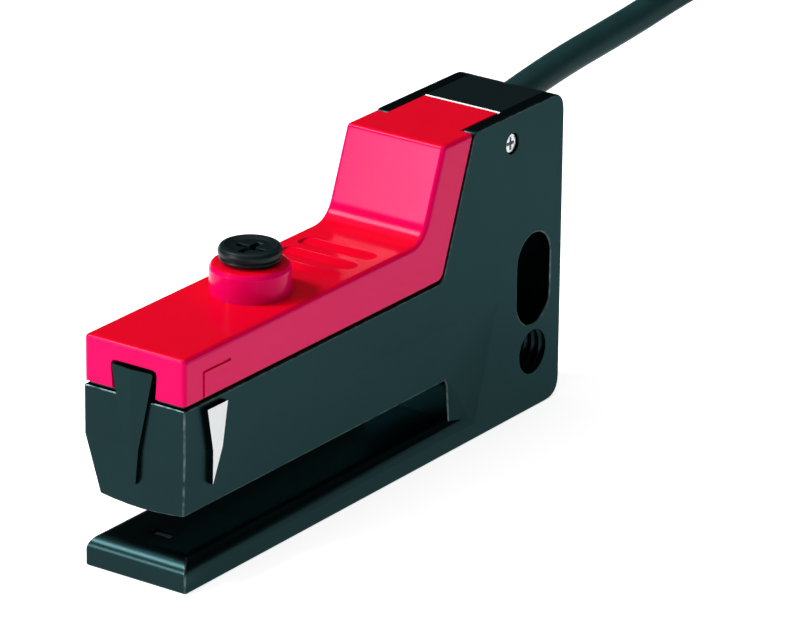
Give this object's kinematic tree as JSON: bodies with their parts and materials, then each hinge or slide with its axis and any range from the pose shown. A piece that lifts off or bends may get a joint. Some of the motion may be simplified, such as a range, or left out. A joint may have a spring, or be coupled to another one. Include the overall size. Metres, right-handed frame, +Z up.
{
  "type": "photoelectric fork sensor",
  "caption": "Fork-shaped photoelectric sensor: black aluminium fork with a throat, translucent red cover, rotary sensitivity adjuster, pointer marks and a fixed cable folded into a tied hank.",
  "frame": {"origin": "middle of the sensor's footprint on the surface it stands on, the cable left out", "axes": "+X from the fork's tip to the rear where the cable leaves, +Y to the right-hand side seen from the tip, +Z up from the lower arm to the cover"},
  "size_m": [0.2472, 0.0428, 0.0518],
  "materials": {
    "anodised_body": "black anodised, fine blasted satin",
    "red_cover": "translucent red polycarbonate, glossy",
    "seal_rubber": "matt black elastomer",
    "black_plastic": "moulded black, semi-gloss",
    "end_piece": "moulded black, fine texture",
    "blue_plastic": "moulded blue",
    "white_plastic": "moulded white",
    "steel": "bright, stainless",
    "board_laminate": "green solder mask",
    "chip_epoxy": "moulded epoxy",
    "led_green": "clear tinted",
    "led_yellow": "clear tinted",
    "capacitor_epoxy": "moulded amber",
    "optical_glass": "polished",
    "flex_film": "polyimide film",
    "core_brown": "extruded insulation",
    "core_white": "extruded insulation",
    "core_blue": "extruded insulation",
    "core_black": "extruded insulation",
    "cable_sheath": "matt extruded sheath",
    "tinned_copper": "tinned, satin"
  },
  "bodies": {
    "housing": {"fork_body": "anodised_body", "top_cover": "red_cover", "cover_gasket": "seal_rubber", "potentiometer_base": "blue_plastic", "cable_end_piece": "end_piece", "cable_crimp_ring": "steel", "side_screw_left": "steel", "side_screw_right": "steel", "main_board": "board_laminate", "controller_chip": "chip_epoxy", "output_transistor": "chip_epoxy", "amplifier_chip": "chip_epoxy", "status_led_green": "led_green", "status_led_yellow": "led_yellow", "buffer_capacitor": "capacitor_epoxy", "receiver_window": "optical_glass", "receiver_lens": "optical_glass", "receiver_tube": "black_plastic", "receiver_photodiode": "chip_epoxy", "emitter_window": "optical_glass", "emitter_led": "white_plastic", "emitter_board": "board_laminate", "flex_lead": "flex_film", "lower_arm_strip": "black_plastic", "inner_core_brown": "core_brown", "inner_core_white": "core_white", "inner_core_blue": "core_blue", "inner_core_black": "core_black", "cable": "cable_sheath", "cable_hank": "cable_sheath", "tail_core_brown": "core_brown", "tail_core_white": "core_white", "tail_core_blue": "core_blue", "tail_core_black": "core_black", "tail_ferrule_brown": "tinned_copper", "tail_ferrule_white": "tinned_copper", "tail_ferrule_blue": "tinned_copper", "tail_ferrule_black": "tinned_copper", "hank_tie": "black_plastic"},
    "adjuster": {"adjuster_knob": "black_plastic", "adjuster_o_ring": "seal_rubber", "potentiometer_rotor": "white_plastic"}
  },
  "joints": [
    {"name": "adjuster_turn", "type": "hinge", "parent": "housing", "child": "adjuster", "pos_m": [-0.01862, 0, 0.0387], "axis": [0, 0, 1], "range_deg": [-135, 135]}
  ]
}
